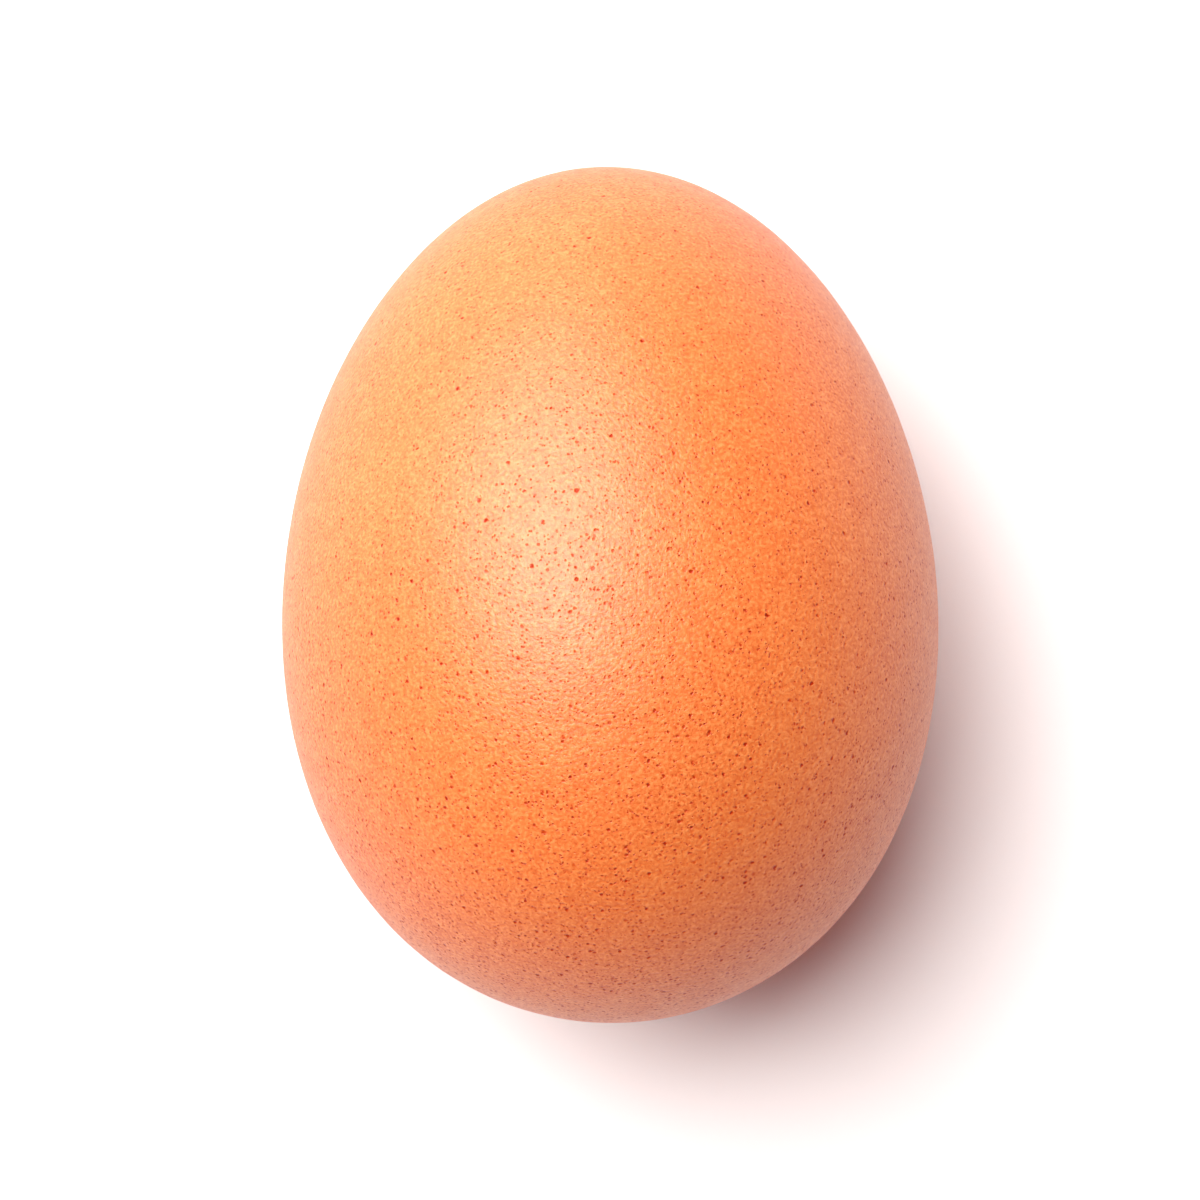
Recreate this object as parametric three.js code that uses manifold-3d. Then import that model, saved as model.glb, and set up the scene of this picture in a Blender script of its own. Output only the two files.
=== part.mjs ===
// A brown hen's egg in its shell, lying on its side, in millimetres.
//
// Frame: +Z up, +Y from the blunt end towards the pointed end. The origin is on the surface that the egg
// lies on, under the middle of its bounding box.
// The egg is one closed body of revolution. It lies as a loose egg comes to rest, with its long axis
// dipping a few degrees towards the pointed end, and it stands on a small flat spot.

import * as THREE from "three";
import { mergeVertices } from "three/addons/utils/BufferGeometryUtils.js";
import Module from "manifold-3d";

// Driving dimensions
const LENGTH = 57; // along the long axis, from pole to pole
const WIDTH_SHARE = 0.7627; // half width over half length, before the two shape terms below
const TAPER = -0.073; // narrows the +Y half, which makes that end the pointed one
const FULLNESS = 0.017; // fills out both shoulders a little
const REST_DEPTH = 0.15; // how deep the flat spot is cut into the shell

// How finely the surface is divided
const STEPS_ALONG = 40; // from pole to pole
const STEPS_AROUND = 80;

const halfLength = LENGTH / 2;
const halfWidth = halfLength * WIDTH_SHARE;

// Preston's egg curve. Its angle runs from -90 degrees at the blunt pole to +90 at the pointed one.
// The distance along the axis is the half length times the sine, and the radius is the half width
// times the cosine, times a quadratic in the sine.
function distanceAt(angle) {
  return halfLength * Math.sin(angle);
}

function radiusAt(angle) {
  const sine = Math.sin(angle);
  return halfWidth * Math.cos(angle) * (1 + TAPER * sine + FULLNESS * sine * sine);
}

// How steeply the outline falls towards the pointed end, in radians.
function slopeAt(angle) {
  const step = 1e-4;
  const fall = radiusAt(angle - step) - radiusAt(angle + step);
  const run = distanceAt(angle + step) - distanceAt(angle - step);
  return Math.atan2(fall, run);
}

// Where the centre of mass lies along the axis: the mean distance, weighted by the area of each slice.
function centreOfMass() {
  const slices = 500;
  let volume = 0;
  let moment = 0;
  for (let i = 0; i < slices; i++) {
    const angle = Math.PI * ((i + 0.5) / slices - 0.5);
    const slice = radiusAt(angle) ** 2 * Math.cos(angle);
    volume += slice;
    moment += slice * distanceAt(angle);
  }
  return moment / volume;
}

// An egg comes to rest where the line square to its shell at the contact runs through its centre of
// mass. That line crosses the axis further towards the pointed end as the angle grows, so halving an
// interval finds the contact.
function contactAngle() {
  const goal = centreOfMass();
  const halvings = 40;
  let low = -0.3; // radians, well to the blunt side of the contact
  let high = 0.3; // and well to the pointed side
  for (let i = 0; i < halvings; i++) {
    const middle = (low + high) / 2;
    const crossing = distanceAt(middle) - radiusAt(middle) * Math.tan(slopeAt(middle));
    if (crossing < goal) {
      low = middle;
    } else {
      high = middle;
    }
  }
  return (low + high) / 2;
}

// The whole egg about its long axis, which the lathe leaves on Y.
function wholeEgg() {
  const outline = [];
  for (let i = 0; i <= STEPS_ALONG; i++) {
    const angle = Math.PI * (i / STEPS_ALONG - 0.5);
    const isPole = i === 0 || i === STEPS_ALONG;
    outline.push(new THREE.Vector2(isPole ? 0 : radiusAt(angle), distanceAt(angle)));
  }
  return new THREE.LatheGeometry(outline, STEPS_AROUND);
}

// Tips the pointed end down, so that the shell at the contact is level and REST_DEPTH below z = 0.
function layDown(geometry) {
  const contact = contactAngle();
  const dip = slopeAt(contact);
  const underside = new THREE.Vector3(0, distanceAt(contact), -radiusAt(contact));
  underside.applyAxisAngle(new THREE.Vector3(1, 0, 0), -dip);
  geometry.rotateX(-dip);
  geometry.translate(0, 0, -underside.z - REST_DEPTH);
  return geometry;
}

// A block that holds everything below z = 0.
function tableGeometry() {
  const side = 2 * LENGTH;
  return new THREE.BoxGeometry(side, side, side).translate(0, 0, -side / 2);
}

function solidFrom(geometry, wasm) {
  geometry.deleteAttribute("normal");
  geometry.deleteAttribute("uv");
  const merged = mergeVertices(geometry);
  return new wasm.Manifold(
    new wasm.Mesh({
      numProp: 3,
      vertProperties: merged.attributes.position.array,
      triVerts: new Uint32Array(merged.index.array),
    }),
  );
}

function geometryFrom(solid) {
  const mesh = solid.getMesh();
  const geometry = new THREE.BufferGeometry();
  geometry.setAttribute("position", new THREE.BufferAttribute(mesh.vertProperties, 3));
  geometry.setIndex(new THREE.BufferAttribute(mesh.triVerts, 1));
  return geometry;
}

// Moves the egg along Y, so that the origin is under the middle of its bounding box.
function centred(geometry) {
  geometry.computeBoundingBox();
  const { min, max } = geometry.boundingBox;
  return geometry.translate(0, -(min.y + max.y) / 2, 0);
}

const wasm = await Module();
wasm.setup();

const egg = solidFrom(layDown(wholeEgg()), wasm);
const table = solidFrom(tableGeometry(), wasm);
const restingEgg = centred(geometryFrom(egg.subtract(table)));
restingEgg.computeVertexNormals();

const shell = new THREE.MeshStandardMaterial({ color: 0xe8935a, roughness: 0.5, metalness: 0 });

const eggMesh = new THREE.Mesh(restingEgg, shell);
eggMesh.name = "egg";

const part = new THREE.Group();
part.name = "hens_egg";
part.add(eggMesh);

export default part;
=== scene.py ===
# %% [markdown]
# # A brown hen's egg
#
# This lesson builds one brown egg, lying on a white table in a small studio. Its size and place come
# from a solid model of the egg, which is loaded first and never changed. Blender adds what that model
# leaves out: a fine, slightly uneven shell, its pores and its colour.
#
# Everything is in metres, with +Z up. The egg's long axis runs along +Y, towards the pointed end.

import bpy
import numpy as np
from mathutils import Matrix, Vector


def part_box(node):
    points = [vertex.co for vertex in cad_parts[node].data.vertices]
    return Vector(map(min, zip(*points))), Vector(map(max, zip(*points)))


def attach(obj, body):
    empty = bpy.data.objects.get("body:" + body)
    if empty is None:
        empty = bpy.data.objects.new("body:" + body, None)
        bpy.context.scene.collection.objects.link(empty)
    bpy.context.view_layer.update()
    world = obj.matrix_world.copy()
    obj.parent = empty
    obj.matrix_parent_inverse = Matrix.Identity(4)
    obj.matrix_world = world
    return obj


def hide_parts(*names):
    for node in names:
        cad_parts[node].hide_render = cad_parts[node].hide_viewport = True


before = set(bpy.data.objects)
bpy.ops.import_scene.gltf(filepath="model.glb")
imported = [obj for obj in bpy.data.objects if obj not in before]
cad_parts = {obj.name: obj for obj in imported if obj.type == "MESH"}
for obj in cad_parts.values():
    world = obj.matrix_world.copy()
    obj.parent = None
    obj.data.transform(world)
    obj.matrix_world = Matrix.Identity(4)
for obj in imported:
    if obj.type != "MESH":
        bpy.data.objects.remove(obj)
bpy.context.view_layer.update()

# %% [markdown]
# ## The space to fill
#
# The shell takes its length and its place from the solid egg's box, and the camera its height, so the
# new egg can't drift away from the solid one. Only the numbers of its curve are given again below.

# %% Measure the egg's box
MM = 0.001  # one millimetre, in metres
egg_low, egg_high = (np.array(corner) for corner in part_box("egg"))
egg_size = egg_high - egg_low
print("the egg's box is", (egg_size / MM).round(2), "mm")

# %% [markdown]
# ## Camera
#
# The camera hangs over the egg and looks straight down, so the whole outline shows. A short lens
# close by would make the egg bulge, and a very long one from far away would make it look flat. A
# 100 mm lens some 20 cm above the egg is what an ordinary close-up takes. It hangs a little off the
# egg's middle, and is turned by a fraction of a degree, as a camera held by hand is.

# %% Hang the camera over the egg
LENS = 100 * MM
SENSOR = 36 * MM
VIEW_WIDTH = 80 * MM  # what the picture takes in, at the height where the egg is widest
OFF_CENTRE = (-0.65 * MM, -0.47 * MM)
ROLL = np.radians(-0.65)

widest_height = egg_low[2] + egg_size[2] / 2
camera_data = bpy.data.cameras.new("camera")
camera_data.lens = LENS / MM
camera_data.sensor_width = SENSOR / MM
camera = bpy.data.objects.new("camera", camera_data)
camera.location = (*OFF_CENTRE, widest_height + VIEW_WIDTH * LENS / SENSOR)
camera.rotation_euler = (0, 0, ROLL)
bpy.context.scene.collection.objects.link(camera)
bpy.context.scene.camera = camera
print("camera is", round(camera.location.z / MM), "mm above the table")

# %% [markdown]
# ## Shape of the shell
#
# An egg is one closed surface. A sphere of rings and spokes would crowd its faces at the two ends,
# and a subdivided cube smoothed into an egg would not follow a known outline. So the surface starts
# as a cube of six square grids, which is blown up to a ball: its faces are all squares of nearly one
# size, and there are no poles. The ball is then stretched by Preston's egg curve, an old formula
# with two numbers that say how much one end tapers and how full the shoulders are.

# %% A ball made of six grids
def ball(steps):
    """Points on a ball of radius 1, and the quads between them.

    Each side of a cube is a grid over two parameters that run from -45 to 45 degrees. Their tangents
    are the place on the side, and every point is then divided by its distance from the middle. The
    six grids share their edges, so points that agree to seven places become one point."""
    tangent = np.tan(np.linspace(-np.pi / 4, np.pi / 4, steps + 1))
    across, along = np.meshgrid(tangent, tangent, indexing="ij")
    number = np.arange((steps + 1) ** 2).reshape(steps + 1, steps + 1)
    corners = [number[:-1, :-1], number[1:, :-1], number[1:, 1:], number[:-1, 1:]]
    square = np.stack(corners, axis=-1).reshape(-1, 4)
    points, quads = [], []
    for axis in range(3):
        for side in (-1, 1):
            place = np.empty((number.size, 3))
            place[:, axis] = side
            place[:, (axis + 1) % 3] = across.ravel()
            place[:, (axis + 2) % 3] = side * along.ravel()
            quads.append(square + len(points) * number.size)
            points.append(place)
    points = np.concatenate(points)
    points /= np.linalg.norm(points, axis=1, keepdims=True)
    _, first, merged = np.unique(points.round(7), axis=0, return_index=True, return_inverse=True)
    return points[first], merged.ravel()[np.concatenate(quads)]


GRID_STEPS = 128  # along one side of each of the six grids
directions, egg_quads = ball(GRID_STEPS)
print("ball has", len(directions), "points and", len(egg_quads), "quads")

# %% Preston's egg curve
WIDTH_SHARE = 0.7627  # half width over half length, before the two shape terms
TAPER = -0.073
FULLNESS = 0.017
DIP = np.radians(4.45)  # how far the pointed end dips when a loose egg lies still
REST_DEPTH = 0.15 * MM  # how deep the flat spot under the egg is


def stretched(directions):
    """Preston's egg of half length 1, from the points of a ball.

    The place along the axis stays as it is. The two others are multiplied by the width share, and by
    one plus the taper times that place plus the fullness times its square."""
    along = directions[:, 1:2]
    girth = WIDTH_SHARE * (1 + TAPER * along + FULLNESS * along**2)
    return directions * np.hstack([girth, np.ones_like(along), girth])


def dipped(points, angle):
    """The points turned about X by minus the angle, so that the +Y end goes down."""
    cosine, sine = np.cos(angle), np.sin(angle)
    turn = np.array([[1, 0, 0], [0, cosine, sine], [0, -sine, cosine]])
    return points @ turn.T


def laid_on_table(points):
    """The egg at its real length and in its real place, with a flat spot at z = 0.

    The length along Y is made the frame's. The lowest point goes down to minus the flat spot's depth,
    and whatever is then below z = 0 is raised to it."""
    points = points * egg_size[1] / np.ptp(points[:, 1])
    middle = (points.min(0) + points.max(0)) / 2
    points = points - [middle[0], middle[1], points[:, 2].min() + REST_DEPTH]
    points[:, 2] = np.maximum(points[:, 2], 0)
    return points


print("at its widest the curve is", stretched(directions)[:, 0].max().round(3), "of the half length")

# %% [markdown]
# ### Unevenness
#
# A real egg is never a perfect curve: light sliding over it shows gentle swells and, closer up,
# shallow ripples. Noise on every vertex by itself would look like sandpaper. Adding up many plane
# waves that run through space in random directions gives smooth hills of a chosen size. The random
# numbers have a seed, so the same egg comes out every time.

# %% Swells and ripples
def waves(points, shortest, longest, height, count, seed):
    """Smooth hills over the given points: the sum of plane waves, each the cosine of two pi times the
    distance along its own direction, over its wavelength, plus a phase of its own. The sum is scaled
    so that its root mean square is the height given."""
    dice = np.random.default_rng(seed)
    headings = dice.normal(size=(3, count))
    headings /= np.linalg.norm(headings, axis=0)
    lengths = dice.uniform(shortest, longest, count)
    phases = dice.uniform(0, 2 * np.pi, count)
    hills = np.cos(2 * np.pi * points @ (headings / lengths) + phases).sum(axis=1)
    return height * hills / hills.std()


half_length = egg_size[1] / 2
smooth_egg = stretched(directions) * half_length
swells = waves(smooth_egg, shortest=10 * MM, longest=25 * MM, height=0.010 * MM, count=24, seed=5)
ripples = waves(smooth_egg, shortest=2.5 * MM, longest=6 * MM, height=0.003 * MM, count=60, seed=6)
uneven_egg = smooth_egg + directions * (swells + ripples)[:, None]
print("swells go up to", round(np.abs(swells).max() / MM, 3), "mm, ripples to",
      round(np.abs(ripples).max() / MM, 3), "mm")

# %% Lay the egg down
egg_points = laid_on_table(dipped(uneven_egg, DIP))
print("egg measures", (np.ptp(egg_points, axis=0) / MM).round(2), "mm")

# %% [markdown]
# ### Into the scene
#
# The shell becomes one mesh object at the origin, unturned, with its place in its points. It rides on
# the frame's one body. It stands for the solid egg, which is hidden from now on.

# %% Put the shell in the scene
def mesh_piece(name, points, quads):
    """A smooth-shaded mesh object, linked to the scene."""
    mesh = bpy.data.meshes.new(name)
    mesh.from_pydata(points, [], quads)
    mesh.shade_smooth()
    piece = bpy.data.objects.new(name, mesh)
    bpy.context.scene.collection.objects.link(piece)
    return piece


shell = mesh_piece("eggshell", egg_points, egg_quads)
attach(shell, "root")
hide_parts("egg")
print("eggshell has", len(shell.data.polygons), "faces and", len(shell.data.vertices), "points")

# %% [markdown]
# ## Colours and nodes
#
# Colours are written as the hex numbers of an ordinary colour picker. Those are sRGB values, and a
# shader works with linear light, so one function turns the one into the other. A second function
# starts an empty material. A third adds one node of any kind and links it in the same line, which
# keeps a long chain of nodes readable from top to bottom.

# %% Colours and nodes
def linear(hex_colour):
    """The linear red, green, blue and alpha of an sRGB colour such as "#DD6D31"."""
    channels = np.array([int(hex_colour[i:i + 2], 16) for i in (1, 3, 5)]) / 255
    light = np.where(channels <= 0.04045, channels / 12.92, ((channels + 0.055) / 1.055) ** 2.4)
    return (*light.tolist(), 1.0)


def new_material(name):
    """An empty material, and the node tree to fill."""
    material = bpy.data.materials.new(name)
    material.use_nodes = True
    material.node_tree.nodes.clear()
    return material, material.node_tree


def add(tree, kind, inputs=None, **settings):
    """Adds one node of the given kind. Settings are the node's own choices. Inputs go by the socket's
    name or number: a number or colour is set there, and a node or one of its outputs is linked."""
    node = tree.nodes.new(kind)
    for key, value in settings.items():
        setattr(node, key, value)
    for key, value in (inputs or {}).items():
        if isinstance(value, bpy.types.Node):
            value = value.outputs[0]
        if isinstance(value, bpy.types.NodeSocket):
            tree.links.new(value, node.inputs[key])
        else:
            node.inputs[key].default_value = value
    return node


print("a warm brown in linear light:", np.round(linear("#DD6D31"), 3))

# %% [markdown]
# ## Finish of the shell
#
# A washed brown egg is bare: no lacquer, only chalky calcite with a brown pigment in its outer skin.
# Three things show close up. Small dark pits are the mouths of pores, and they crowd towards the
# blunt end, where the air cell is. Their dark colour is partly the shell's own and partly painted
# shade, standing in for the shade inside each pit. Between them is a fine leathery grain. Over both
# lie faint paler and darker clouds.
#
# A painted image would need an unwrapped egg, and it would stretch or show a seam somewhere. Solid
# patterns, which fill space and which the shell cuts through, have no seam and no stretch. They read
# the object's own coordinates in metres, so a pattern's scale is one over its size in metres.

# %% Where on the shell
WARP = 0.22 * MM  # the furthest that a place is pushed about, so that no pit is perfectly round
WARP_SIZE = 0.30 * MM

shell_finish, tree = new_material("bare_brown_eggshell")
place = add(tree, "ShaderNodeTexCoord").outputs["Object"]
wobble = add(tree, "ShaderNodeTexNoise", {"Vector": place, "Scale": 1 / WARP_SIZE, "Detail": 1.0})
pushed = add(tree, "ShaderNodeVectorMath", {0: wobble.outputs["Color"], 1: (WARP,) * 3, 2: place},
             operation="MULTIPLY_ADD")
along_egg = add(tree, "ShaderNodeSeparateXYZ", {"Vector": place}).outputs["Y"]
thinning_out = (float(egg_low[1]), float(0.3 * egg_high[1]))  # from the blunt end to past the middle
print("pits thin out from", np.round(np.array(thinning_out) / MM, 1), "mm along the egg")

# %% [markdown]
# ### Pits
#
# A Voronoi pattern puts one point in every small cube of space and gives the distance to the nearest
# one. Close to a point is inside a pit. Every cube also gets three random numbers of its own, which
# here choose the pit's radius, its strength, and whether there is a pit at all. The shell cuts some
# pits through the middle and others near their edge, so one pattern gives many sizes.
#
# The same few nodes are used twice: for the sparse large pores and for the fine pits between them.

# %% A layer of pits
def pits(cell, radii, strengths, share_at_ends, core):
    """How deep in a pit each place is, from 0 on the open shell to 1 at the bottom of the deepest.

    Cells have the given size. A cell's pit has a radius and a strength between the two given, and it
    is there for a share of the cells that changes evenly from the blunt end to the pointed end, where
    a share past 1 means every cell. From the rim to the core, whose radius is a share of the pit's,
    it deepens along a smooth S-shaped step."""
    cells = add(tree, "ShaderNodeTexVoronoi", {"Vector": pushed, "Scale": 1 / cell})
    chance = add(tree, "ShaderNodeSeparateColor", {"Color": cells.outputs["Color"]}).outputs
    radius = add(tree, "ShaderNodeMapRange", {"Value": chance[0], "To Min": radii[0] / cell,
                                              "To Max": radii[1] / cell})
    floor = add(tree, "ShaderNodeMath", {0: radius, 1: core}, operation="MULTIPLY")
    depth = add(tree, "ShaderNodeMapRange", {"Value": cells.outputs["Distance"], "From Min": radius,
                                             "From Max": floor}, interpolation_type="SMOOTHSTEP")
    strength = add(tree, "ShaderNodeMapRange", {"Value": chance[1], "To Min": strengths[0],
                                                "To Max": strengths[1]})
    share = add(tree, "ShaderNodeMapRange", {
        "Value": along_egg,
        "From Min": thinning_out[0],
        "From Max": thinning_out[1],
        "To Min": share_at_ends[0],
        "To Max": share_at_ends[1],
    })
    open_here = add(tree, "ShaderNodeMath", {0: chance[2], 1: share}, operation="LESS_THAN")
    depth = add(tree, "ShaderNodeMath", {0: depth, 1: strength}, operation="MULTIPLY")
    return add(tree, "ShaderNodeMath", {0: depth, 1: open_here}, operation="MULTIPLY")


pores = pits(cell=0.46 * MM, radii=(0.07 * MM, 0.18 * MM), strengths=(0.3, 1.0),
             share_at_ends=(0.95, 0.06), core=0.3)
fine_pits = pits(cell=0.26 * MM, radii=(0.07 * MM, 0.12 * MM), strengths=(0.10, 0.65),
                 share_at_ends=(1.1, 0.6), core=0.3)
pitted = add(tree, "ShaderNodeMath", {0: pores, 1: fine_pits}, operation="MAXIMUM")
print("two layers of pits:", len(tree.nodes), "nodes so far")

# %% [markdown]
# ### Grain and clouds
#
# Between the pits the shell has a leathery grain. The real one goes down to single crystals, a few
# hundredths of a millimetre across, which are too fine to show, so it is drawn as noise a fifth of a
# millimetre across. Dimples are about a millimetre across, and clouds of pigment nearly a centimetre.
# Each noise is centred on nought, so that it can be scaled and added.

# %% Grain, dimples and clouds
GRAIN_SIZE = 0.22 * MM
DIMPLE_SIZE = 1.1 * MM
CLOUD_SIZE = 9 * MM


def unevenness(size, detail):
    """Noise of the given size, from about -0.3 to 0.3 around nought."""
    noise = add(tree, "ShaderNodeTexNoise", {"Vector": place, "Scale": 1 / size, "Detail": detail})
    return add(tree, "ShaderNodeMath", {0: noise, 1: 0.5}, operation="SUBTRACT")


grain = unevenness(GRAIN_SIZE, 2.0)
dimples = unevenness(DIMPLE_SIZE, 3.0)
clouds = unevenness(CLOUD_SIZE, 2.0)
print("noise at", [size / MM for size in (GRAIN_SIZE, DIMPLE_SIZE, CLOUD_SIZE)], "mm")

# %% [markdown]
# ### Pigment
#
# Brown pigment is a filter. Where it lies twice as thick, the light goes through it twice, so the
# colour is multiplied by itself: blue fades fastest, then green, and red least. The pits are darkened
# by the same rule, which makes them deep maroon and not grey. That dark is partly the shell's own
# and partly painted shade, standing in for the shade inside each pit. So all the patterns, the pits'
# painted shade among them, add up to one number, the pigment's thickness, and a colour ramp, worked
# out from that rule, turns thickness into colour.

# %% Pigment thickness with painted pit shade, and its colour
THIN_SHELL = np.array(linear("#E08646")[:3])
FADING = np.array([0.30, 1.0, 1.9])  # of red, green and blue, by one unit of pigment
THINNEST = -0.4  # where the ramp starts: grain can make the pigment thinner than usual
RAMP_LENGTH = 3.2  # units of pigment from the ramp's start to its end
RAMP_STEPS = 9
CROWDING = 1.7  # puts more of the ramp's stops at its thin end, where most of the shell is


def summed(weighted):
    """One output that is the sum of each given pattern times its weight."""
    total = 0.0
    for pattern, weight in weighted:
        total = add(tree, "ShaderNodeMath", {0: pattern, 1: weight, 2: total}, operation="MULTIPLY_ADD")
    return total


# The pits' weight darkens the colour inside them. This is partly the shell's own darker specks and
# partly painted shade standing in for the shade in each pit.
pigment_and_pit_shade = summed([(pitted, 2.45), (grain, 1.9), (dimples, 0.35), (clouds, 0.20)])
share_of_ramp = add(tree, "ShaderNodeMapRange", {"Value": pigment_and_pit_shade, "From Min": THINNEST,
                                                 "From Max": THINNEST + RAMP_LENGTH})
ramp = add(tree, "ShaderNodeValToRGB", {"Fac": share_of_ramp})
stops = np.linspace(0, 1, RAMP_STEPS) ** CROWDING
filtered = THIN_SHELL * np.exp(-FADING * RAMP_LENGTH * stops[:, None])
for stop, colour in zip(stops[1:-1], filtered[1:-1]):
    ramp.color_ramp.elements.new(stop).color = (*colour, 1)
ramp.color_ramp.elements[0].color = (*filtered[0], 1)
ramp.color_ramp.elements[-1].color = (*filtered[-1], 1)
print("from thin to thick pigment, linear:", filtered[[0, RAMP_STEPS // 2, -1]].round(3).tolist())

# %% [markdown]
# ### Relief and gloss
#
# The pits are a few hundredths of a millimetre deep and finer than the mesh's faces, so they are not
# real geometry: a bump map tilts the shading across them. Heights are in millimetres. A clean shell
# has a soft, satin gloss. At the bottom of a pit the light is trapped, so the gloss fades out there.

# %% The finish itself
CALCITE_IOR = 1.6  # the chalky mineral that the shell is made of
DIMPLE_RANGE = 0.25  # from nought to the height where the dimples' noise counts as high ground
SATIN = (0.42, 0.48)  # roughness, on low and on high ground
GLOSS = (0.5, 0.1)  # on the open shell, and in a deep pit
DEEP_PIT = 0.8  # the depth from which a pit counts as deep, where 1 is the deepest

relief = summed([(pitted, -0.05), (grain, -0.05), (dimples, 0.03)])
bump = add(tree, "ShaderNodeBump", {"Height": relief, "Distance": MM, "Strength": 1.0})
gloss = add(tree, "ShaderNodeMapRange", {
    "Value": pitted,
    "From Max": DEEP_PIT,
    "To Min": GLOSS[0],
    "To Max": GLOSS[1],
})
satin = add(tree, "ShaderNodeMapRange", {
    "Value": dimples,
    "From Min": -DIMPLE_RANGE,
    "From Max": DIMPLE_RANGE,
    "To Min": SATIN[0],
    "To Max": SATIN[1],
})

# A bare, chalky brown: a wide and soft highlight, warm colour, dark pores, no wet shine.
skin = add(tree, "ShaderNodeBsdfPrincipled", {
    "Base Color": ramp.outputs["Color"],
    "Roughness": satin,
    "IOR": CALCITE_IOR,
    "Specular IOR Level": gloss,
    "Normal": bump,
})
add(tree, "ShaderNodeOutputMaterial", {"Surface": skin})
shell.data.materials.append(shell_finish)
print("eggshell finish has", len(tree.nodes), "nodes")

# %% [markdown]
# ## Table
#
# The table only has to be pale, plain and wide, so it is one square. It lies a hundredth of a
# millimetre under the egg's flat spot, so that the two faces don't fight over the same place.

# %% Table
TABLE_SIDE = 20.0
TABLE_GAP = 0.01 * MM

half = TABLE_SIDE / 2
table_corners = np.array([(-half, -half), (half, -half), (half, half), (-half, half)])
table_points = np.column_stack([table_corners, np.full(4, -TABLE_GAP)])
table = mesh_piece("table_top", table_points, np.array([[0, 1, 2, 3]]))

# Matt white paint: bright and even, with hardly any gloss.
table_finish, tree = new_material("matt_white_table_paint")
paint = add(tree, "ShaderNodeBsdfPrincipled", {"Base Color": linear("#ECEBE9"), "Roughness": 0.8})
add(tree, "ShaderNodeOutputMaterial", {"Surface": paint})
table.data.materials.append(table_finish)
print("table is", TABLE_SIDE, "m wide")

# %% [markdown]
# ## Paper sweep
#
# All round the egg, a metre off, a low band of white paper curves up from the table, lit through from
# the back. It closes off the dark of the room, so that the egg is seen against plain pale paper from
# every side, and it gives the egg the low, even light of pale walls. Real walls would do the same,
# with many more bounces of light to work out. A simple glow stands in for the lamps behind the paper.

# %% Paper sweep
SWEEP_START = 1.1  # metres from the egg, where the paper leaves the table
SWEEP_END = 2.0
SWEEP_HEIGHT = 0.48
SWEEP_GLOW = 0.68


def sweep(bends, rises):
    """A sheet bent all the way round. For the compass angle c and the rise t from 0 to 90 degrees, the
    distance from the egg is the start plus the sine of t times the depth, and the height is one minus
    the cosine of t, times the full height: a quarter of an ellipse, level where it begins. The last
    column of quads joins back to the first."""
    c, t = np.meshgrid(np.arange(bends) * 2 * np.pi / bends, np.radians(np.linspace(0, 90, rises)),
                       indexing="ij")
    away = SWEEP_START + (SWEEP_END - SWEEP_START) * np.sin(t)
    points = np.stack([away * np.cos(c), away * np.sin(c), SWEEP_HEIGHT * (1 - np.cos(t))], axis=-1)
    here = np.arange(bends * rises).reshape(bends, rises)
    beside = np.roll(here, -1, axis=0)
    quads = np.stack([here[:, :-1], here[:, 1:], beside[:, 1:], beside[:, :-1]], axis=-1)
    return points.reshape(-1, 3), quads.reshape(-1, 4)


paper = mesh_piece("paper_sweep", *sweep(bends=96, rises=25))

# White paper with light behind it: an even glow with no gloss.
paper_finish, tree = new_material("backlit_white_paper")
glow = add(tree, "ShaderNodeEmission", {"Color": linear("#FFFFFF"), "Strength": SWEEP_GLOW})
add(tree, "ShaderNodeOutputMaterial", {"Surface": glow})
paper.data.materials.append(paper_finish)
print("paper has", len(paper.data.polygons), "quads")

# %% [markdown]
# ## Lamps
#
# Two softboxes hang on the same side. The wide one gives the broad soft light that models the egg.
# The small one is higher and closer to a point, so it draws the highlight and the darker heart of the
# shadow. One lamp alone would give either a hard shadow or hardly any.

# %% Softboxes
LOOK_AT = Vector((0, 0, 0.02))
LAMP_DISTANCE = 1.0


def softbox(name, side, watts, height_angle, compass_angle):
    """A square area lamp of the given side, aimed at the egg.

    Its direction from the egg is (cos h cos c, cos h sin c, sin h), for the height angle h over the
    table and the compass angle c from +X towards +Y."""
    up, around = np.radians([height_angle, compass_angle])
    towards = Vector((np.cos(up) * np.cos(around), np.cos(up) * np.sin(around), np.sin(up)))
    data = bpy.data.lights.new(name, "AREA")
    data.size = side
    data.energy = watts
    lamp = bpy.data.objects.new(name, data)
    lamp.location = LOOK_AT + towards * LAMP_DISTANCE
    lamp.rotation_euler = towards.to_track_quat("Z", "Y").to_euler()
    bpy.context.scene.collection.objects.link(lamp)
    print(name, "hangs", round(lamp.location.z, 2), "m over the table")


softbox("wide_softbox", side=1.2, watts=22.4, height_angle=50, compass_angle=127)
softbox("small_softbox", side=0.5, watts=7.1, height_angle=70, compass_angle=146)

# %% [markdown]
# ## The room
#
# Above the paper the room is dim and rosy. A brown egg lets some red light through, and its shadow
# glows with it. Letting light through a closed shell would make the picture slow and grainy, so the
# room's own colour stands in for that glow.

# %% The room
ROOM = linear("#6C2730")

world = bpy.data.worlds.new("rosy_room")
bpy.context.scene.world = world
world.use_nodes = True
world.node_tree.nodes["Background"].inputs["Color"].default_value = ROOM
bpy.context.scene.view_settings.view_transform = "Standard"
print("the room gives, linear:", np.round(ROOM[:3], 3))
